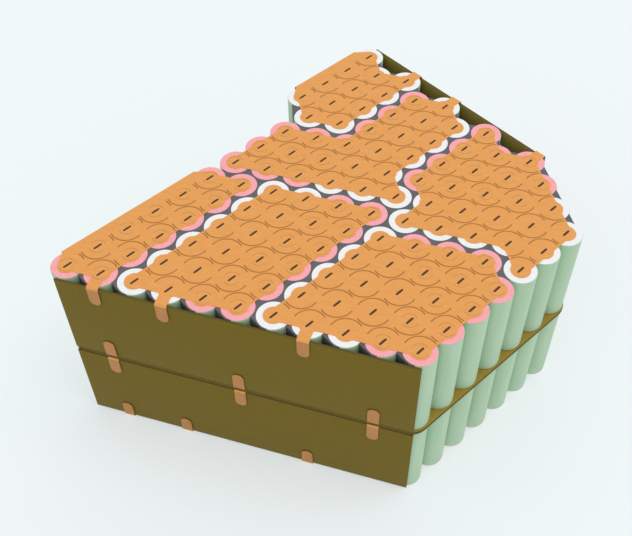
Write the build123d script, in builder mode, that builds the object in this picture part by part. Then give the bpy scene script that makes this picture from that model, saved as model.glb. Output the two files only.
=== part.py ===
from build123d import *
import os
from math import cos, radians, sin, sqrt

# Battery module: two layers of cylindrical cells stand back to back on one mid-plate. Welded collector
# sheets join the cells of each layer, and thin side walls close the straight front and back.
# The cells stand in a triangular grid: column i runs along +X and row j along the slant direction.
# The origin is on the base, under the axis of the front left cell. All sizes are in millimetres.

# Cells, each one solid with its sleeve and insulating end rings
cell_diameter = 21.5
can_length = 70.0
end_ring = 0.2

# Sides of the prism that stands for a round cell, for a cell on the outside of the block and for a hidden one
OUTER_SIDES = 12
HIDDEN_SIDES = 6

# Cell grid
cell_gap = 0.9
slant = 60.0
pitch = cell_diameter + cell_gap
row_depth = pitch * sin(radians(slant))

# Collector sheets
collector_thickness = 0.3
web_half_width = 4.0
lobe_radius = 6.4
LOBE_SIDES = 8

# Folded sense tabs, on the front and back walls
tab_width = 7.8
tab_reach = 16.0
tab_tip_radius = 3.8
tab_standoff = 0.5
fold_radius = 1.2

# Terminal flaps, folded down over the open left side
flap_reach = 22.0
flap_standoff = 1.6
flap_setback = 3.7

# Walls and mid-plate
wall_thickness = 1.5
wall_gap = 0.1
wall_overhang = 3.7
wall_edge_gap = 1.2
wall_plate_gap = 0.8
mid_plate_thickness = 3.0
plate_left_setback = 1.9
plate_right_setback = 0.7

# Heights, from the base up
cell_radius = cell_diameter / 2
stack_length = can_length + 2 * end_ring
layer_height = stack_length + 2 * collector_thickness
plate_bottom = layer_height
plate_top = plate_bottom + mid_plate_thickness
module_height = plate_top + layer_height
lower_cell_bottom = collector_thickness
upper_cell_bottom = plate_top + collector_thickness
side_offset = cell_radius + wall_gap + wall_thickness
tab_offset = side_offset + tab_standoff
flap_offset = cell_radius + flap_standoff

# Twelve cells in parallel make one step of the series string; the steps are listed from one terminal to
# the other, each as (row, first column, last column).
STEPS = [
    [(j, 0, 1) for j in range(6)],
    [(j, 2, 3) for j in range(6)],
    [(j, 4, 5) for j in range(6)],
    [(0, 6, 8), (1, 6, 8), (2, 6, 8), (3, 6, 7), (4, 6, 6)],
    [(0, 9, 10), (1, 9, 10), (2, 9, 10), (3, 8, 10), (4, 7, 9)],
    [(4, 10, 10), (5, 6, 10), (6, 6, 10), (7, 9, 9)],
    [(7, 5, 8), (8, 5, 8), (9, 5, 7), (10, 5, 5)],
    [(6, 3, 5), (7, 3, 4), (8, 3, 4), (9, 3, 4), (10, 3, 4), (11, 3, 3)],
    [(6, 0, 2), (7, 0, 2), (8, 0, 2), (9, 2, 2), (10, 2, 2), (11, 2, 2)],
    [(9, 0, 1), (10, -1, 1), (11, -1, 1), (12, -1, 1), (13, -1, -1)],
]
# Each collector joins the steps listed; the outer ends carry the terminals, the inner ends the odd pairs.
OUTER_PAIRS = [[0], [1, 2], [3, 4], [5, 6], [7, 8], [9]]
INNER_PAIRS = [[0, 1], [2, 3], [4, 5], [6, 7], [8, 9]]
OUTER_TABS = [(1, 0), (3, 0), (7, 0), (7, 9), (3, 11), (1, 12)]
INNER_TABS = [(1, 0), (5, 0), (9, 0), (5, 10), (-1, 13)]
NEIGHBOURS = [(1, 0), (0, 1), (-1, 1), (-1, 0), (0, -1), (1, -1)]


def spot(column, row):
    """Axis of the cell in this column and row."""
    return (pitch * (column + row * cos(radians(slant))), row_depth * row)


def cells_of(steps):
    """Every (column, row) of the listed series steps."""
    runs = [run for step in steps for run in STEPS[step]]
    return [(column, row) for row, first, last in runs for column in range(first, last + 1)]


ALL_CELLS = set(cells_of(range(len(STEPS))))


def is_outer(cell):
    """True where a cell lacks at least one neighbour."""
    return any((cell[0] + dx, cell[1] + dy) not in ALL_CELLS for dx, dy in NEIGHBOURS)


def save(piece, name):
    piece.part.label = name
    export_step(piece.part, f"parts/{name}.step")


def folded_strip(start, heading, width, standoff, reach, tip_radius, sheet_bottom, turn):
    """Strip of collector sheet that runs outwards from start, folds by a right angle and ends at its reach.

    heading is the outward direction in degrees, and turn is -1 for a fold down or 1 for a fold up.
    """
    outward = Vector(cos(radians(heading)), sin(radians(heading)), 0)
    middle = sheet_bottom + collector_thickness / 2
    side_view = Plane(origin=(start[0], start[1], middle), x_dir=outward, z_dir=outward.cross(Vector(0, 0, 1)))
    bend = standoff + collector_thickness / 2
    with BuildPart() as strip:
        with BuildSketch(side_view):
            with BuildLine():
                corners = [(0, 0), (bend, 0), (bend, turn * reach)]
                FilletPolyline(*corners, radius=fold_radius + collector_thickness / 2)
            trace(line_width=collector_thickness)
        extrude(amount=width / 2, both=True)
        if tip_radius:
            across = strip.edges().filter_by(GeomType.LINE)
            across = across.filter_by(lambda edge: abs(edge.length - collector_thickness) < collector_thickness / 10)
            fillet(across.sort_by(Axis.Z)[-2 if turn > 0 else 0 :][:2], radius=tip_radius)
    return strip.part


def sense_tab(cell, sheet_bottom, turn):
    """Tab from the cell over the wall in front of it, or behind it."""
    heading = -90 if cell[1] == 0 else slant
    reach = tab_reach - collector_thickness / 2
    return folded_strip(
        spot(*cell), heading, tab_width, tab_offset, reach, tab_tip_radius, sheet_bottom, turn
    )


def terminal_flap(first, last, sheet_bottom, turn):
    """Wide flap over the open left side, along the run of cells from first to last."""
    start, end = Vector(*spot(*first)), Vector(*spot(*last))
    middle = (start + end) / 2
    span = (end - start).length - 2 * flap_setback
    reach = flap_reach - collector_thickness / 2
    return folded_strip(
        (middle.X, middle.Y), slant + 90, span, flap_offset, reach, None, sheet_bottom, turn
    )


def collector(name, steps, tab_cell, sheet_bottom, turn, terminal=None, lobed=True):
    """Flat sheet over its cells, with a folded sense tab and, at a string end, a terminal flap.

    Where it shows, the sheet has a lobe on each cell; the inner sheets are plain.
    """
    cells = cells_of(steps)
    folded = [sense_tab(tab_cell, sheet_bottom, turn)]
    if terminal:
        folded.append(terminal_flap(terminal[0], terminal[1], sheet_bottom, turn))
    with BuildPart() as sheet:
        with BuildSketch(Plane.XY.offset(sheet_bottom)) as outline:
            for column, row in cells:
                for near, far in (((1, 0), (0, 1)), ((0, 1), (-1, 1))):
                    others = [(column + near[0], row + near[1]), (column + far[0], row + far[1])]
                    if all(other in cells for other in others):
                        Polygon(spot(column, row), spot(*others[0]), spot(*others[1]), align=None)
            offset(amount=web_half_width, kind=Kind.INTERSECTION)
            if lobed:
                with Locations(*[spot(*cell) for cell in cells]):
                    RegularPolygon(radius=lobe_radius, side_count=LOBE_SIDES, rotation=180 / LOBE_SIDES)
        extrude(amount=collector_thickness)
        add(folded)
    save(sheet, name)


def cell_group(name, step, cell_bottom):
    """The twelve parallel cells of one series step; hidden ones are prisms of fewer sides."""
    with BuildPart() as group:
        with BuildSketch(Plane.XY.offset(cell_bottom)):
            for cell in cells_of([step]):
                sides = OUTER_SIDES if is_outer(cell) else HIDDEN_SIDES
                with Locations(spot(*cell)):
                    RegularPolygon(cell_radius, side_count=sides, major_radius=False, rotation=180 / sides)
        extrude(amount=stack_length)
    save(group, name)


def side_wall(name, first, last, outward, wall_bottom, wall_height):
    """Thin wall tangent to a straight side, from the cell called first to the one called last."""
    start, end = Vector(*spot(*first)), Vector(*spot(*last))
    normal = Vector(cos(radians(outward)), sin(radians(outward)), 0)
    middle = (start + end) / 2 + normal * (cell_radius + wall_gap + wall_thickness / 2)
    along = (end - start).normalized()
    base = Plane(origin=(middle.X, middle.Y, wall_bottom), x_dir=along, z_dir=(0, 0, 1))
    with BuildPart() as wall:
        with BuildSketch(base):
            Rectangle((end - start).length + 2 * wall_overhang, wall_thickness)
        extrude(amount=wall_height)
    save(wall, name)


os.makedirs("parts", exist_ok=True)

# Cells, layer by layer
for step in range(len(STEPS)):
    cell_group(f"cells_lower_{step + 1:02d}", step, lower_cell_bottom)
    cell_group(f"cells_upper_{step + 1:02d}", step, upper_cell_bottom)

# Outer collectors: folded down on the top of the module, and up on its base
TERMINALS = {0: ((0, 0), (0, 5)), 5: ((-1, 10), (-1, 13))}
for number, steps in enumerate(OUTER_PAIRS):
    flap = TERMINALS.get(number)
    top_sheet = module_height - collector_thickness
    collector(f"collector_top_{number + 1}", steps, OUTER_TABS[number], top_sheet, -1, flap)
    collector(f"collector_base_{number + 1}", steps, OUTER_TABS[number], 0, 1, flap)

# Inner collectors: on both faces of the mid-plate, folded away from it
for number, steps in enumerate(INNER_PAIRS):
    lower_sheet = plate_bottom - collector_thickness
    collector(f"collector_inner_upper_{number + 1}", steps, INNER_TABS[number], plate_top, 1, lobed=False)
    collector(f"collector_inner_lower_{number + 1}", steps, INNER_TABS[number], lower_sheet, -1, lobed=False)

# Mid-plate: the outline of the cell block, rounded about its corner cells. It is flush with the walls at
# the front and back, and set back from them on the open sides.
left = plate_left_setback / row_depth
right = plate_right_setback / row_depth
front_corners = [(left, 0), (10 - right, 0)]
back_corners = [(10 - right, 6), (7 - right, 9 + right / 2), (left - 1, 13 - left / 2)]
left_corners = [(left - 1, 10), (left, 9)]
with BuildPart() as mid_plate:
    with BuildSketch(Plane.XY.offset(plate_bottom)):
        Polygon(*[spot(*corner) for corner in front_corners + back_corners + left_corners], align=None)
        offset(amount=side_offset, kind=Kind.ARC)
    extrude(amount=mid_plate_thickness)
save(mid_plate, "mid_plate")

# Side walls: one for each layer, on the front and on the slanted back
wall_height = layer_height - wall_edge_gap - wall_plate_gap
for side, first, last, outward in (("front", (0, 0), (10, 0), -90), ("back", (7, 9), (-1, 13), slant)):
    side_wall(f"{side}_wall_lower", first, last, outward, wall_edge_gap, wall_height)
    side_wall(f"{side}_wall_upper", first, last, outward, plate_top + wall_plate_gap, wall_height)
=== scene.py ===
import math

import bpy
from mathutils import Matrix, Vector


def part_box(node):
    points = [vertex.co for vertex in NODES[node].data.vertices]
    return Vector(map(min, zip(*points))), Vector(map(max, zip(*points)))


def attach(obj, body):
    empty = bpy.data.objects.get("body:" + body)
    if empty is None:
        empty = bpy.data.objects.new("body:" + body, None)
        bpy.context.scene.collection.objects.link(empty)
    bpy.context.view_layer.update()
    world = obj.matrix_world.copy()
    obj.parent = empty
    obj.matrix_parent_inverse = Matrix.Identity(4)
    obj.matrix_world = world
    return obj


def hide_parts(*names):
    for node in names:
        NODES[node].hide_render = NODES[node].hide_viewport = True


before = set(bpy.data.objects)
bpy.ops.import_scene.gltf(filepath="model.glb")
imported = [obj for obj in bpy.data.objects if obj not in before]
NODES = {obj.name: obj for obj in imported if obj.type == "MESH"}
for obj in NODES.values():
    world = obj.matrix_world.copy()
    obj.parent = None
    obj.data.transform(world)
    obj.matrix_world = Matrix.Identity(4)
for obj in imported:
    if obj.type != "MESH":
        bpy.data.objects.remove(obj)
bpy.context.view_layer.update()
MM = 0.001
MERGE = 0.01 * MM  # corners nearer than this are one

# Battery module: two layers of sleeved cells on a mid-plate, potted together under lobed collector sheets

# ---------------------------------------------------------------- sizes

# Cell grid, as the module is built: columns along +X, rows along the slant
PITCH = 22.4 * MM
SLANT = math.radians(60)
CELL_RADIUS = 10.75 * MM
SHEET = 0.3 * MM
MODULE_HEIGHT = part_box("collector_top_1")[1].z
PLATE_LOW, PLATE_HIGH = (corner.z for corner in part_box("mid_plate"))
LAYERS = {"lower": (SHEET, PLATE_LOW - SHEET), "upper": (PLATE_HIGH + SHEET, MODULE_HEIGHT - SHEET)}

# Headings, in degrees, that the module's sides face; the corner side lies between the right side and the back
FRONT_OUT = -90
CORNER_OUT = 30
BACK_OUT = 60
LEFT_OUT = 150

# Insulating rings and can ends
RING_INNER = 5.6 * MM
RING_OUTER = 10.5 * MM
RING_THICKNESS = 0.25 * MM
RING_EASE = 0.06 * MM
SLEEVE_LIP = 0.35 * MM
CAN_END_INSET = CELL_RADIUS / 3

# Weld slots in the sheets, and the weld seen through each
SLOT_LENGTH = 6.4 * MM
SLOT_WIDTH = 1.7 * MM
SLOT_TURN = math.radians(62)
SLOT_FLATS = 12
SLOT_CUT = 3 * SHEET
WELD_CLEARANCE = 0.1 * MM
WELD_THICKNESS = SHEET / 3

# Beads and dishes pressed into the sheets, along two arcs in degrees about each cell's axis
BEAD_RADIUS = 10.5 * MM
BEAD_WIDTH = 0.9 * MM
BEAD_HEIGHT = 0.22 * MM
BEAD_ARCS = ((46, 166), (226, 346))
BEAD_TURN = math.radians(4)
BEAD_EDGE = 2.4 * MM
BEAD_STEPS = 36
BEAD_FLATS = 6
DISH_RADIUS = 5.1 * MM
DISH_WIDTH = 0.7 * MM
DISH_HEIGHT = BEAD_HEIGHT / 2

# Outline of a collector sheet: straight webs along the outer cells, a round lobe on each, and the roots of
# the folded tab and flap, at FOLD_ROOT and FLAP_ROOT from the cell's axis
WEB_HALF_WIDTH = 4.0 * MM
LOBE_RADIUS = 6.4 * MM
WEB_FILLET = 2.0 * MM
TAB_WIDTH = 7.8 * MM
FLAP_SETBACK = 3.7 * MM
FOLD_ROOT = 9.0 * MM
FLAP_ROOT = 11.0 * MM

# Potting between the cells. In a front pocket its face leaves one cell and reaches round to the next one's
# foremost line, both given from the cell's axis
POTTING_DEPTH = 0.12 * MM
POTTING_LEAVES = Vector((8.6, -4.6, 0)) * MM
POTTING_REACHES = (Vector((-4.0, -10.78, 0)) * MM, Vector((-1.0, -10.8, 0)) * MM)
POTTING_BACK_MARGIN = 7.6 * MM
POTTING_CORNER_MARGIN = 8.5 * MM

LAMINATE_EASE = 0.2 * MM
STRIP_EASE = 0.05 * MM
ROUND = 32  # flats round a cell
ARC_STEP = 12  # degrees

# How level a face is, as the height of its normal
STEEP = 0.3
SLOPING = 0.7
LEVEL = 0.9

# Series steps of twelve cells each, as (row, first column, last column)
STEPS = [
    [(j, 0, 1) for j in range(6)],
    [(j, 2, 3) for j in range(6)],
    [(j, 4, 5) for j in range(6)],
    [(0, 6, 8), (1, 6, 8), (2, 6, 8), (3, 6, 7), (4, 6, 6)],
    [(0, 9, 10), (1, 9, 10), (2, 9, 10), (3, 8, 10), (4, 7, 9)],
    [(4, 10, 10), (5, 6, 10), (6, 6, 10), (7, 9, 9)],
    [(7, 5, 8), (8, 5, 8), (9, 5, 7), (10, 5, 5)],
    [(6, 3, 5), (7, 3, 4), (8, 3, 4), (9, 3, 4), (10, 3, 4), (11, 3, 3)],
    [(6, 0, 2), (7, 0, 2), (8, 0, 2), (9, 2, 2), (10, 2, 2), (11, 2, 2)],
    [(9, 0, 1), (10, -1, 1), (11, -1, 1), (12, -1, 1), (13, -1, -1)],
]
POSITIVE_STEPS = (0, 2, 4, 6, 8)
NEGATIVE_STEPS = (1, 3, 5, 7, 9)
OUTER_PAIRS = [[0], [1, 2], [3, 4], [5, 6], [7, 8], [9]]
INNER_SHEETS = 5  # on each face of the mid-plate, joining steps 1 and 2, 3 and 4, and so on
OUTER_TABS = [(1, 0), (3, 0), (7, 0), (7, 9), (3, 11), (1, 12)]
TERMINALS = {0: ((0, 0), (0, 5)), 5: ((-1, 10), (-1, 13))}
WEB_SIDES = [((1, 0), (0, 1)), ((0, 1), (-1, 1))]  # the two neighbours that close each triangle of a web
UNDER_FLAP = "under flap"

# Cells at the module's corners, and along its back
FRONT_LEFT = (0, 0)
FRONT_RIGHT = (10, 0)
BACK_RIGHT = (10, 6)
BACK_CORNER = (7, 9)
BACK_CELLS = [(7, 9), (6, 9), (5, 10), (4, 10), (3, 11), (2, 11), (1, 12), (0, 12), (-1, 13)]
# The two cells of the step in the open left side, and the headings out of them into the step
LEFT_STEP = ((-1, 10), (0, 9))
LEFT_STEP_OUT = (240, 165)


def spot(column, row):
    return Vector((PITCH * (column + row * math.cos(SLANT)), PITCH * row * math.sin(SLANT), 0))


def heading(degrees):
    return Vector((math.cos(math.radians(degrees)), math.sin(math.radians(degrees)), 0))


def angle_of(vector):
    return math.degrees(math.atan2(vector.y, vector.x))


def shifted(cell, move):
    return (cell[0] + move[0], cell[1] + move[1])


def cells_of(steps):
    runs = [run for step in steps for run in STEPS[step]]
    return [(column, row) for row, first, last in runs for column in range(first, last + 1)]


def places_of(steps, height, turn=0):
    """Where a pattern stands on each cell of these steps, as (place, turn)."""
    return [(spot(*cell) + Vector((0, 0, height)), turn) for cell in cells_of(steps)]


# ---------------------------------------------------------------- materials


def srgb(code):
    channels = [int(code[i : i + 2], 16) / 255 for i in (1, 3, 5)]
    return [c / 12.92 if c <= 0.04045 else ((c + 0.055) / 1.055) ** 2.4 for c in channels] + [1]


def add_node(tree, kind, links=None, **settings):
    """One node; settings name its properties or inputs, and links gives sockets that feed its inputs."""
    node = tree.nodes.new(kind)
    for key, value in settings.items():
        if hasattr(node, key):
            setattr(node, key, value)
        else:
            node.inputs[key.replace("_", " ")].default_value = value
    for key, socket in (links or {}).items():
        tree.links.new(socket, node.inputs[key])
    return node


def new_material(name, roughness, metallic=0.0, shine=0.5):
    material = bpy.data.materials.new(name)
    material.use_nodes = True
    shader = material.node_tree.nodes["Principled BSDF"]
    shader.inputs["Roughness"].default_value = roughness
    shader.inputs["Metallic"].default_value = metallic
    shader.inputs["Specular IOR Level"].default_value = shine
    return material, material.node_tree, shader


def mottled(name, dark, light, grain_mm, roughness, metallic=0.0, bump_mm=0.0, stretch=(1, 1, 1), shine=0.5):
    """A finish whose tone wanders between two near colours, with a matching fine relief."""
    material, tree, shader = new_material(name, roughness, metallic, shine)
    place = add_node(tree, "ShaderNodeTexCoord")
    mapping = add_node(tree, "ShaderNodeMapping", {"Vector": place.outputs["Object"]}, Scale=stretch)
    grain = {"Vector": mapping.outputs["Vector"]}
    noise = add_node(tree, "ShaderNodeTexNoise", grain, Scale=1 / (grain_mm * MM), Detail=4.0)
    ramp = add_node(tree, "ShaderNodeValToRGB", {"Fac": noise.outputs["Fac"]})
    for element, position, tone in zip(ramp.color_ramp.elements, (0.3, 0.7), (dark, light)):
        element.position = position
        element.color = srgb(tone)
    tree.links.new(ramp.outputs["Color"], shader.inputs["Base Color"])
    if bump_mm:
        relief = {"Height": noise.outputs["Fac"]}
        bump = add_node(tree, "ShaderNodeBump", relief, Strength=0.6, Distance=bump_mm * MM)
        tree.links.new(bump.outputs["Normal"], shader.inputs["Normal"])
    return material


# Rolled copper-alloy strip: warm orange, satin, with a faint grain along the rolling direction
rolled_strip = mottled(
    "rolled_bronze_strip", "#E79D52", "#EDA55B", 2.2, 0.5, 0.1, 0.01, stretch=(0.25, 1, 1), shine=0.25
)
# Its upright faces, the folded ends among them: a little duller, and darker and browner as painted shade
upright_strip_painted_shade = mottled(
    "bronze_strip_upright_painted_shade", "#B98048", "#C48A50", 2.2, 0.55, 0.1, 0.01, stretch=(1, 1, 0.25), shine=0.25
)
# The same strip along its pressed beads: darker, as painted shade in the crease
pressed_crease_painted_shade = mottled("pressed_bronze_crease_painted_shade", "#A86A2C", "#B87834", 1.2, 0.5, 0.35)
# A shallow crease under a light punch, nearly the strip's own colour; its slight darkening is painted shade
# in the crease
dish_crease_painted_shade = mottled("dish_bronze_crease_painted_shade", "#CC8A45", "#D6934C", 1.2, 0.5, 0.35)
# Laser-welded can end seen through a slot: brown-black weld oxide, darkened further as painted shade in the
# slot
weld_oxide_and_slot_shade = mottled("laser_weld_oxide_and_slot_shade", "#3E2514", "#5E3C24", 0.5, 0.55, 0.3, 0.02)
# PET shrink sleeve: pale green, smooth, with a soft gloss and faint draw lines along the cell
shrink_sleeve = mottled(
    "pet_shrink_sleeve", "#ADCAA9", "#B5D0B1", 5.0, 0.45, 0.0, 0.01, stretch=(1, 1, 0.15), shine=0.3
)
# Nickel-plated steel can end: bright, with the faint cloud of the plating bath
can_end = mottled("nickel_plated_steel", "#A9A8A4", "#B9B8B4", 1.5, 0.35, 0.9)
# Vulcanised-fibre rings: matt, slightly cloudy; pink marks the positive end and white the negative
ring_pink = mottled("pink_fibre_ring", "#FAA0A8", "#FFB0B5", 1.2, 0.6, 0.0, 0.01)
ring_white = mottled("white_fibre_ring", "#F0EEEF", "#FAF8F9", 1.2, 0.6, 0.0, 0.01)
# Epoxy-glass laminate, olive: matt, with a fine cloudy weave; on the walls' outer faces it is darker than the
# plate's top, as painted shade
laminate_wall_painted_shade = mottled("olive_laminate_wall_painted_shade", "#74611F", "#7A6723", 1.6, 0.7, 0.0, 0.02, shine=0.12)
# Its inner face, painted lighter than the outer face as painted light, against the shade inside the module
laminate_inner_painted_light = mottled("olive_laminate_inside", "#8E7A3A", "#968240", 1.6, 0.7, 0.0, 0.02, shine=0.12)
# Edges and side faces of the laminate: darker, as painted shade
laminate_edge_painted_shade = mottled("olive_laminate_edge", "#5E5024", "#665728", 0.8, 0.8, 0.0, 0.03, shine=0.1)
# The plate's level faces: the same laminate painted lighter, as painted light from above
laminate_plate_painted_light = mottled("olive_laminate_plate", "#9A8230", "#A48B38", 1.6, 0.7, 0.0, 0.02, shine=0.12)
# Filled polyurethane potting: dark grey, dull, lightly rippled where it set
potting_grey = mottled("polyurethane_potting", "#58585C", "#626267", 3.0, 0.7, 0.0, 0.15)


# ---------------------------------------------------------------- modelling helpers


def start():
    if bpy.context.mode != "OBJECT":
        bpy.ops.object.mode_set(mode="OBJECT")
    bpy.ops.object.select_all(action="DESELECT")


def only(piece):
    start()
    piece.select_set(True)
    bpy.context.view_layer.objects.active = piece


def select_faces(piece, keep):
    """Selects in edit mode the faces for which keep(face) is true."""
    bpy.ops.object.mode_set(mode="OBJECT")
    mesh = piece.data
    for part in (mesh.vertices, mesh.edges, mesh.polygons):
        part.foreach_set("select", [False] * len(part))
    for face in mesh.polygons:
        face.select = keep(face)
    bpy.ops.object.mode_set(mode="EDIT")
    bpy.ops.mesh.select_mode(type="FACE")


def finish_shape(piece, smooth=30):
    """Settles the piece's place into its mesh and smooths its shading below the given angle."""
    only(piece)
    bpy.ops.object.transform_apply(location=True, rotation=True, scale=True)
    bpy.ops.object.shade_smooth_by_angle(angle=math.radians(smooth))


def joined(pieces, last):
    """Joins the pieces into the last one."""
    start()
    for piece in pieces:
        piece.select_set(True)
    bpy.context.view_layer.objects.active = last
    bpy.ops.object.join()
    return last


def copies(pattern, places, name):
    """One piece made of a copy of the pattern at each place, each turned by its angle."""
    made = []
    for place, turn in places:
        twin = pattern.copy()
        twin.data = pattern.data.copy()
        twin.location = place
        twin.rotation_euler.z = turn
        bpy.context.scene.collection.objects.link(twin)
        made.append(twin)
    piece = joined(made, made[0])
    piece.name = piece.data.name = name
    bpy.ops.object.transform_apply(location=True, rotation=True, scale=True)
    return piece


def merged_copy(node):
    """A copy of a solid, with its loose triangles joined, left selected in edit mode."""
    piece = NODES[node].copy()
    piece.data = NODES[node].data.copy()
    piece.parent = None
    bpy.context.scene.collection.objects.link(piece)
    only(piece)
    bpy.ops.object.mode_set(mode="EDIT")
    bpy.ops.mesh.select_all(action="SELECT")
    bpy.ops.mesh.remove_doubles(threshold=MERGE)
    bpy.ops.mesh.select_all(action="SELECT")
    return piece


def modify(piece, kind, **settings):
    only(piece)
    modifier = piece.modifiers.new(kind.lower(), kind)
    for key, value in settings.items():
        setattr(modifier, key, value)
    bpy.ops.object.modifier_apply(modifier=modifier.name)


def paint(piece, *finishes):
    piece.data.materials.clear()
    for finish in finishes:
        piece.data.materials.append(finish)


def prism(name, outline, low, high):
    """Solid between two heights over a closed outline."""
    mesh = bpy.data.meshes.new(name)
    mesh.from_pydata([(point.x, point.y, low) for point in outline], [], [tuple(range(len(outline)))])
    piece = bpy.data.objects.new(name, mesh)
    bpy.context.scene.collection.objects.link(piece)
    only(piece)
    bpy.ops.object.mode_set(mode="EDIT")
    bpy.ops.mesh.select_all(action="SELECT")
    bpy.ops.mesh.extrude_region_move(TRANSFORM_OT_translate={"value": (0, 0, high - low)})
    bpy.ops.mesh.select_all(action="SELECT")
    bpy.ops.mesh.normals_make_consistent(inside=False)
    bpy.ops.object.mode_set(mode="OBJECT")
    return piece


def declare(piece, slot, *nodes):
    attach(piece, "root")
    if nodes:
        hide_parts(*nodes)


def drop(*patterns):
    for pattern in patterns:
        bpy.data.objects.remove(pattern)


# ---------------------------------------------------------------- cells


def is_end(face):
    return abs(face.normal.z) > LEVEL and len(face.vertices) == ROUND


def cell_pattern():
    """A sleeved cell between its rings, standing on z = 0: the sleeve's rim turns in over the can ends."""
    length = LAYERS["lower"][1] - LAYERS["lower"][0] - 2 * RING_THICKNESS
    bpy.ops.mesh.primitive_cylinder_add(
        vertices=ROUND, radius=CELL_RADIUS, depth=length, location=(0, 0, RING_THICKNESS + length / 2)
    )
    cell = bpy.context.object
    bpy.ops.object.transform_apply(location=True)
    paint(cell, shrink_sleeve, can_end)
    select_faces(cell, is_end)
    bpy.ops.mesh.bevel(offset=SLEEVE_LIP, segments=2)
    select_faces(cell, is_end)
    bpy.ops.mesh.inset(thickness=CAN_END_INSET, use_individual=True)
    bpy.ops.object.mode_set(mode="OBJECT")
    for face in cell.data.polygons:
        face.material_index = 1 if is_end(face) else 0
    finish_shape(cell)
    return cell


def ring_pattern():
    """A flat insulating ring lying on z = 0, with its rims eased."""
    bpy.ops.mesh.primitive_circle_add(vertices=ROUND, radius=RING_INNER, fill_type="NOTHING")
    ring = bpy.context.object
    bpy.ops.object.mode_set(mode="EDIT")
    bpy.ops.mesh.extrude_edges_move()
    bpy.ops.transform.resize(value=(RING_OUTER / RING_INNER,) * 2 + (1,))
    bpy.ops.mesh.select_all(action="SELECT")
    bpy.ops.mesh.normals_make_consistent(inside=False)
    bpy.ops.object.mode_set(mode="OBJECT")
    if ring.data.polygons[0].normal.z < 0:
        ring.data.flip_normals()
    modify(ring, "SOLIDIFY", thickness=RING_THICKNESS, offset=1)
    modify(ring, "BEVEL", width=RING_EASE, segments=1, limit_method="ANGLE")
    finish_shape(ring, 40)
    return ring


cell_model = cell_pattern()
ring_model = ring_pattern()
for layer, (low, high) in LAYERS.items():
    for step in range(len(STEPS)):
        group = copies(cell_model, places_of([step], low), f"sleeved_cells_{layer}_{step + 1:02d}")
        declare(group, "cell_sleeve", f"cells_{layer}_{step + 1:02d}")
    outer, inner = (low, high - RING_THICKNESS) if layer == "lower" else (high - RING_THICKNESS, low)
    for tone, material, slot, marked, others in (
        ("pink", ring_pink, "positive_ring", POSITIVE_STEPS, NEGATIVE_STEPS),
        ("white", ring_white, "negative_ring", NEGATIVE_STEPS, POSITIVE_STEPS),
    ):
        places = places_of(marked, outer) + places_of(others, inner)
        rings = copies(ring_model, places, f"{tone}_rings_{layer}")
        paint(rings, material)
        declare(rings, slot)
drop(cell_model, ring_model)


# ---------------------------------------------------------------- potting


def potting(name, low, high):
    """Slab poured between the cells of one layer, set just below their rings and inside their outer line."""
    corners = []
    for column in range(FRONT_RIGHT[0]):
        corners.append(spot(column, 0) + POTTING_LEAVES)
        corners += [spot(column + 1, 0) + reach for reach in POTTING_REACHES]
    corners += [spot(*FRONT_RIGHT), spot(*BACK_RIGHT)]
    aside = heading(CORNER_OUT) * POTTING_CORNER_MARGIN
    corners += [spot(*BACK_RIGHT) + aside, spot(*BACK_CORNER) + aside]
    corners += [spot(*cell) + heading(BACK_OUT) * POTTING_BACK_MARGIN for cell in BACK_CELLS]
    upper_step, lower_step = (spot(*cell) for cell in LEFT_STEP)
    upper_out, lower_out = (heading(out) * RING_OUTER for out in LEFT_STEP_OUT)
    corners += [upper_step, upper_step + upper_out, lower_step + lower_out, lower_step, spot(*FRONT_LEFT)]
    slab = prism(name, corners, low, high)
    paint(slab, potting_grey)
    finish_shape(slab)
    declare(slab, "potting")


for layer, (low, high) in LAYERS.items():
    potting(f"potting_{layer}", low + POTTING_DEPTH, high - POTTING_DEPTH)


# ---------------------------------------------------------------- collector sheets


def slot_pattern(length, width, depth, low):
    """Upright block with rounded ends, as a weld slot's shape: a cylinder with its two halves drawn apart."""
    bpy.ops.mesh.primitive_cylinder_add(
        vertices=SLOT_FLATS, radius=width / 2, depth=depth, location=(0, 0, low + depth / 2)
    )
    block = bpy.context.object
    bpy.ops.object.transform_apply(location=True)
    for vertex in block.data.vertices:
        if abs(vertex.co.x) > width / 100:
            vertex.co.x += math.copysign((length - width) / 2, vertex.co.x)
    return block


def bead_pattern(radius, width, height):
    """Low rounded ridge along two arcs about the axis, half sunk in the surface at z = 0."""
    bpy.ops.mesh.primitive_torus_add(
        major_radius=radius, minor_radius=width / 2, major_segments=BEAD_STEPS, minor_segments=BEAD_FLATS
    )
    bead = bpy.context.object
    bead.scale.z = height / (width / 2)
    bead.rotation_euler.z = BEAD_TURN
    bpy.ops.object.transform_apply(rotation=True, scale=True)

    def is_open(face):
        return not any(first <= angle_of(face.center) % 360 <= last for first, last in BEAD_ARCS)

    select_faces(bead, is_open)
    bpy.ops.mesh.delete(type="FACE")
    bpy.ops.object.mode_set(mode="OBJECT")
    return bead


def web_triangles(steps):
    """Corner cells, counter-clockwise, of each small triangle of the sheet that joins these steps."""
    cells = set(cells_of(steps))
    corners = [[cell, shifted(cell, near), shifted(cell, far)] for cell in cells for near, far in WEB_SIDES]
    return [triple for triple in corners if cells.issuperset(triple)]


def on_sheet(point, triangles):
    """True where the point lies on the sheet's web, clear of its edge."""
    for triple in triangles:
        corners = [spot(*cell) for cell in triple]
        outside = 0
        for i in range(3):
            along = corners[(i + 1) % 3] - corners[i]
            normal = Vector((along.y, -along.x, 0)).normalized()
            outside = max(outside, normal.dot(Vector((point.x, point.y, 0)) - corners[i]))
        if outside <= BEAD_EDGE:
            return True
    return False


def close_ends(piece):
    only(piece)
    bpy.ops.object.mode_set(mode="EDIT")
    bpy.ops.mesh.select_all(action="SELECT")
    bpy.ops.mesh.fill_holes(sides=0)
    bpy.ops.object.mode_set(mode="OBJECT")


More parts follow.
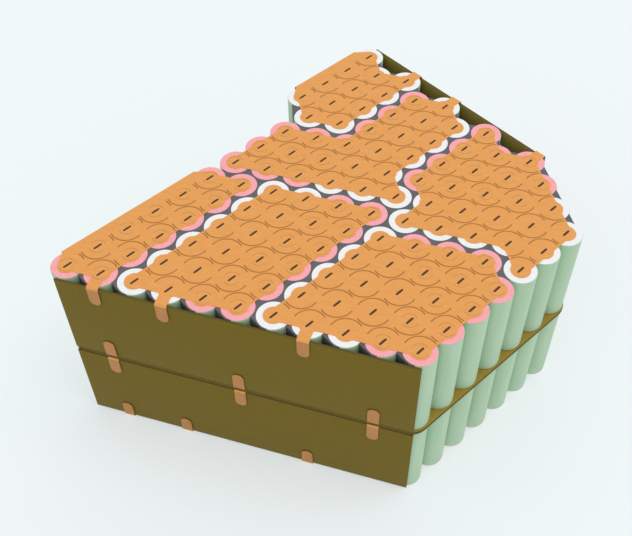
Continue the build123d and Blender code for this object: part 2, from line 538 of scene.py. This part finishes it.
def rim_cells(triangles):
    """Cells round the edge of the sheet, counter-clockwise: its edges are those that one triangle has."""
    edges = {(triple[i], triple[(i + 1) % 3]) for triple in triangles for i in range(3)}
    following = {first: last for first, last in edges if (last, first) not in edges}
    walk = [min(following)]
    while len(walk) < len(following):
        walk.append(following[walk[-1]])
    return walk


def arc(middle, radius, start, end):
    """Points on an arc between two angles in degrees; it runs clockwise where the end is the lower one."""
    count = max(2, math.ceil(abs(end - start) / ARC_STEP))
    return [middle + heading(start + (end - start) * i / count) * radius for i in range(count + 1)]


def lobe(axis, start, end, root):
    """Edge of a lobe from one angle to another; a root is its heading and the offsets of its two sides.

    A tab has both sides, square to its fold. A flap has one on this cell, and that runs on as a tangent of
    the lobe.
    """
    if not root:
        return arc(axis, LOBE_RADIUS, start, end)
    out, leave, back = root
    out += 360 * round(((start + end) / 2 - out) / 360)
    if leave is not None and back is not None:
        points = arc(axis, LOBE_RADIUS, start, out + math.degrees(math.asin(leave / LOBE_RADIUS)))
        points += [axis + heading(out) * FOLD_ROOT + heading(out + 90) * side for side in (leave, back)]
        return points + arc(axis, LOBE_RADIUS, out + math.degrees(math.asin(back / LOBE_RADIUS)), end)
    side = leave if back is None else back
    corner = axis + heading(out) * FLAP_ROOT + heading(out + 90) * side
    swing = math.degrees(math.acos(LOBE_RADIUS / (corner - axis).length))
    lean = math.degrees(math.atan2(side, FLAP_ROOT))
    if back is None:
        return arc(axis, LOBE_RADIUS, start, out + lean - swing) + [corner]
    return [corner] + arc(axis, LOBE_RADIUS, out + lean + swing, end)


def sheet_outline(steps, roots):
    """Outline of a sheet's flat part: webs that run through fillets into the lobes, and the folds' roots."""
    walk = rim_cells(web_triangles(steps))
    rise = WEB_HALF_WIDTH + WEB_FILLET
    reach = math.sqrt((LOBE_RADIUS + WEB_FILLET) ** 2 - rise**2)
    lean = math.degrees(math.atan2(rise, reach))
    points = []
    for i, cell in enumerate(walk):
        axis, before, after = spot(*cell), spot(*walk[i - 1]), spot(*walk[(i + 1) % len(walk)])
        came = angle_of(axis - before)
        turn = (angle_of(after - axis) - came + 180) % 360 - 180
        went = came + turn
        start, end = came - 180 + lean, went - lean
        root = roots.get(cell)
        if root == UNDER_FLAP:
            continue
        if end <= start:
            corner = WEB_HALF_WIDTH / math.cos(math.radians(turn / 2))
            points.append(axis + heading((came + went) / 2 - 90) * corner)
            continue
        if not root or root[1] is not None:
            hollow = axis - heading(came) * reach + heading(came - 90) * rise
            points += arc(hollow, WEB_FILLET, came + 90, came + lean)
        points += lobe(axis, start, end, root)
        if not root or root[2] is not None:
            hollow = axis + heading(went) * reach + heading(went - 90) * rise
            points += arc(hollow, WEB_FILLET, went + 180 - lean, went + 90)
    return [point for i, point in enumerate(points) if (point - points[i - 1]).length > MERGE]


def folded_end(node, cell, out, root):
    """The part of the solid's folded strip beyond its root on this cell."""
    strip = merged_copy(node)
    bpy.ops.mesh.bisect(
        plane_co=spot(*cell) + heading(out) * root, plane_no=heading(out), use_fill=True, clear_inner=True
    )
    bpy.ops.object.mode_set(mode="OBJECT")
    return strip


def flat_sheet(name, node, number, steps, flat_low, slot_model):
    """The lobed sheet with its folded ends, and weld slots cut through it."""
    tab = OUTER_TABS[number - 1]
    out = FRONT_OUT if tab[1] == 0 else BACK_OUT
    roots = {tab: (out, -TAB_WIDTH / 2, TAB_WIDTH / 2)}
    ends = [folded_end(node, tab, out, FOLD_ROOT)]
    if number - 1 in TERMINALS:
        first, last = TERMINALS[number - 1]
        roots.update({(first[0], row): UNDER_FLAP for row in range(first[1] + 1, last[1])})
        roots[last] = (LEFT_OUT, FLAP_SETBACK, None)
        roots[first] = (LEFT_OUT, None, -FLAP_SETBACK)
        ends.append(folded_end(node, first, LEFT_OUT, FLAP_ROOT))
    sheet = prism(name, sheet_outline(steps, roots), flat_low, flat_low + SHEET)
    cutter = copies(slot_model, places_of(steps, flat_low, SLOT_TURN), "cutter")
    modify(sheet, "BOOLEAN", operation="DIFFERENCE", object=cutter, solver="EXACT")
    drop(cutter)
    for piece in ends + [sheet]:
        paint(piece, rolled_strip, upright_strip_painted_shade)
    joined(ends + [sheet], sheet)
    # Tall upright faces of the folded ends take the darker strip as painted shade; the short bends and the
    # flat keep the strip's own colour
    for face in sheet.data.polygons:
        heights = [sheet.data.vertices[i].co.z for i in face.vertices]
        hangs = abs(face.normal.z) < SLOPING and max(heights) - min(heights) > 2 * SHEET
        face.material_index = 1 if hangs else 0
    finish_shape(sheet, 35)
    declare(sheet, "collector_sheet", node)


def pressed_lines(name, model, steps, face_height, material, triangles=None):
    """A bead or dish on each cell of these steps; given the web's triangles, it ends where the web does."""
    pressed = copies(model, places_of(steps, face_height), name)
    if triangles:
        select_faces(pressed, lambda face: not on_sheet(face.center, triangles))
        bpy.ops.mesh.delete(type="FACE")
    close_ends(pressed)
    paint(pressed, material)
    finish_shape(pressed, 60)
    declare(pressed, "collector_sheet")


def collector_sheet(side, number, steps, models):
    """One sheet on the top or the base of the module, with its welds, beads and dishes."""
    mark = f"{side}_{number}"
    flat_low = MODULE_HEIGHT - SHEET if side == "top" else 0
    face_height = MODULE_HEIGHT if side == "top" else 0
    flat_sheet(f"lobed_sheet_{mark}", f"collector_{mark}", number, steps, flat_low, models["slot"])
    # A brown-black fill in each slot: weld oxide with painted shade of the slot
    welds = copies(models["weld"], places_of(steps, flat_low, SLOT_TURN), f"slot_welds_{mark}")
    paint(welds, weld_oxide_and_slot_shade)
    declare(welds, "collector_sheet")
    triangles = web_triangles(steps)
    # Beads in the darker crease tone, as painted shade along each crease
    pressed_lines(f"pressed_beads_{mark}", models["bead"], steps, face_height, pressed_crease_painted_shade, triangles)
    positive = [step for step in steps if step in POSITIVE_STEPS]
    if positive:
        # Dish rims a little darker than the strip, as painted shade
        pressed_lines(f"pressed_dishes_{mark}", models["dish"], positive, face_height, dish_crease_painted_shade)


models = {
    "slot": slot_pattern(SLOT_LENGTH, SLOT_WIDTH, SLOT_CUT, -SHEET),
    "weld": slot_pattern(SLOT_LENGTH - WELD_CLEARANCE, SLOT_WIDTH - WELD_CLEARANCE, WELD_THICKNESS, 0),
    "bead": bead_pattern(BEAD_RADIUS, BEAD_WIDTH, BEAD_HEIGHT),
    "dish": bead_pattern(DISH_RADIUS, DISH_WIDTH, DISH_HEIGHT),
}
for index, steps in enumerate(OUTER_PAIRS):
    collector_sheet("top", index + 1, steps, models)
    collector_sheet("base", index + 1, steps, models)
drop(*models.values())


# ---------------------------------------------------------------- inner collectors, walls and mid-plate


def faced_copy(node, name, slot, ease, finishes, choose):
    """Copy of a solid with its rims eased, each face in the finish that choose(face) picks."""
    piece = merged_copy(node)
    piece.name = piece.data.name = name
    bpy.ops.mesh.dissolve_limited(angle_limit=math.radians(1))
    bpy.ops.object.mode_set(mode="OBJECT")
    modify(piece, "BEVEL", width=ease, segments=2, limit_method="ANGLE", angle_limit=math.radians(50))
    paint(piece, *finishes)
    for face in piece.data.polygons:
        face.material_index = choose(face)
    finish_shape(piece, 35)
    declare(piece, slot, node)


# Upright faces of the inner sheets take the darker strip as painted shade
def strip_finish(face):
    return 1 if abs(face.normal.z) < STEEP else 0


# Level faces of the plate take the lighter laminate as painted light, all others the darker edge laminate as
# painted shade
def plate_finish(face):
    return 1 if abs(face.normal.z) < LEVEL else 0


# Walls: outer faces darker as painted shade, inner faces lighter as painted light, edges darker as painted
# shade
def wall_finish(facing):
    """Picks the outer finish for faces that look the given way, the inner for their backs, or the edge."""

    def choose(face):
        outward = face.normal.dot(facing)
        return 0 if outward > LEVEL else 1 if outward < -LEVEL else 2

    return choose


finishes = [rolled_strip, upright_strip_painted_shade]
for index in range(INNER_SHEETS):
    for side in ("upper", "lower"):
        place = f"{side}_{index + 1}"
        node = f"collector_inner_{place}"
        faced_copy(node, f"inner_sheet_{place}", "collector_sheet", STRIP_EASE, finishes, strip_finish)

# Plate finishes: level faces lighter as painted light, sides darker as painted shade
finishes = [laminate_plate_painted_light, laminate_edge_painted_shade]
faced_copy("mid_plate", "laminate_mid_plate", "mid_plate", LAMINATE_EASE, finishes, plate_finish)

# Wall finishes: outer, inner and edge copies of one laminate, with painted shade outside and on the edges and
# painted light inside
finishes = [laminate_wall_painted_shade, laminate_inner_painted_light, laminate_edge_painted_shade]
for side, out in (("front", FRONT_OUT), ("back", BACK_OUT)):
    choose = wall_finish(heading(out))
    for layer in LAYERS:
        node = f"{side}_wall_{layer}"
        faced_copy(node, f"laminate_{node}", "wall_sheet", LAMINATE_EASE, finishes, choose)


# ---------------------------------------------------------------- floor, light and camera

FLOOR_WIDTH = 12
FLOOR_PLACE = (0.1, 0.1, -0.6 * MM)  # just clear of the beads under the module
FLOOR_GLOW = 0.52
LIGHT_LEVEL = 0.8
BACKDROP_LEVEL = 0.95
SUN_TURN = (math.radians(-4), math.radians(20), 0)
SUN_SOFTNESS = math.radians(40)
SUN_POWER = 0.75
CAMERA_PLACE = (0.26806, -0.32180, 0.59665)
CAMERA_TURN = (math.radians(38.394), math.radians(-0.307), math.radians(16.683))
CAMERA_LENS = 54.67
CAMERA_SENSOR = 36
CAMERA_SHIFT = (-0.0342, 0.0512)

start()
bpy.ops.mesh.primitive_plane_add(size=FLOOR_WIDTH, location=FLOOR_PLACE)
floor = bpy.context.object
floor.name = "studio_floor"
# Matt white floor paint: it glows a little, so that it stays pale and still takes the module's shadow
floor_paint, _, floor_shader = new_material("studio_floor_paint", 0.9, shine=0.0)
floor_shader.inputs["Base Color"].default_value = srgb("#B4B8B9")
floor_shader.inputs["Emission Color"].default_value = srgb("#EFF4F5")
floor_shader.inputs["Emission Strength"].default_value = FLOOR_GLOW
floor.data.materials.append(floor_paint)

world = bpy.data.worlds.new("studio")
bpy.context.scene.world = world
world.use_nodes = True
backdrop = world.node_tree.nodes["Background"]
backdrop.inputs["Color"].default_value = srgb("#F6FAFB")
# The backdrop lights the part at LIGHT_LEVEL and is seen, directly or in a gloss, as pale as the floor
rays = add_node(world.node_tree, "ShaderNodeLightPath")
seen = rays.outputs["Is Camera Ray"]
for kind in ("Is Glossy Ray", "Is Transmission Ray"):
    either = add_node(world.node_tree, "ShaderNodeMath", operation="MAXIMUM")
    world.node_tree.links.new(seen, either.inputs[0])
    world.node_tree.links.new(rays.outputs[kind], either.inputs[1])
    seen = either.outputs["Value"]
strength = add_node(
    world.node_tree, "ShaderNodeMapRange", {"Value": seen}, To_Min=LIGHT_LEVEL, To_Max=BACKDROP_LEVEL
)
world.node_tree.links.new(strength.outputs["Result"], backdrop.inputs["Strength"])

bpy.ops.object.light_add(type="SUN", rotation=SUN_TURN)
key = bpy.context.object
key.data.energy = SUN_POWER
key.data.angle = SUN_SOFTNESS

bpy.ops.object.camera_add(location=CAMERA_PLACE, rotation=CAMERA_TURN)
camera = bpy.context.object
camera.data.lens = CAMERA_LENS
camera.data.sensor_width = CAMERA_SENSOR
camera.data.shift_x, camera.data.shift_y = CAMERA_SHIFT
bpy.context.scene.camera = camera
bpy.context.scene.view_settings.view_transform = "Standard"
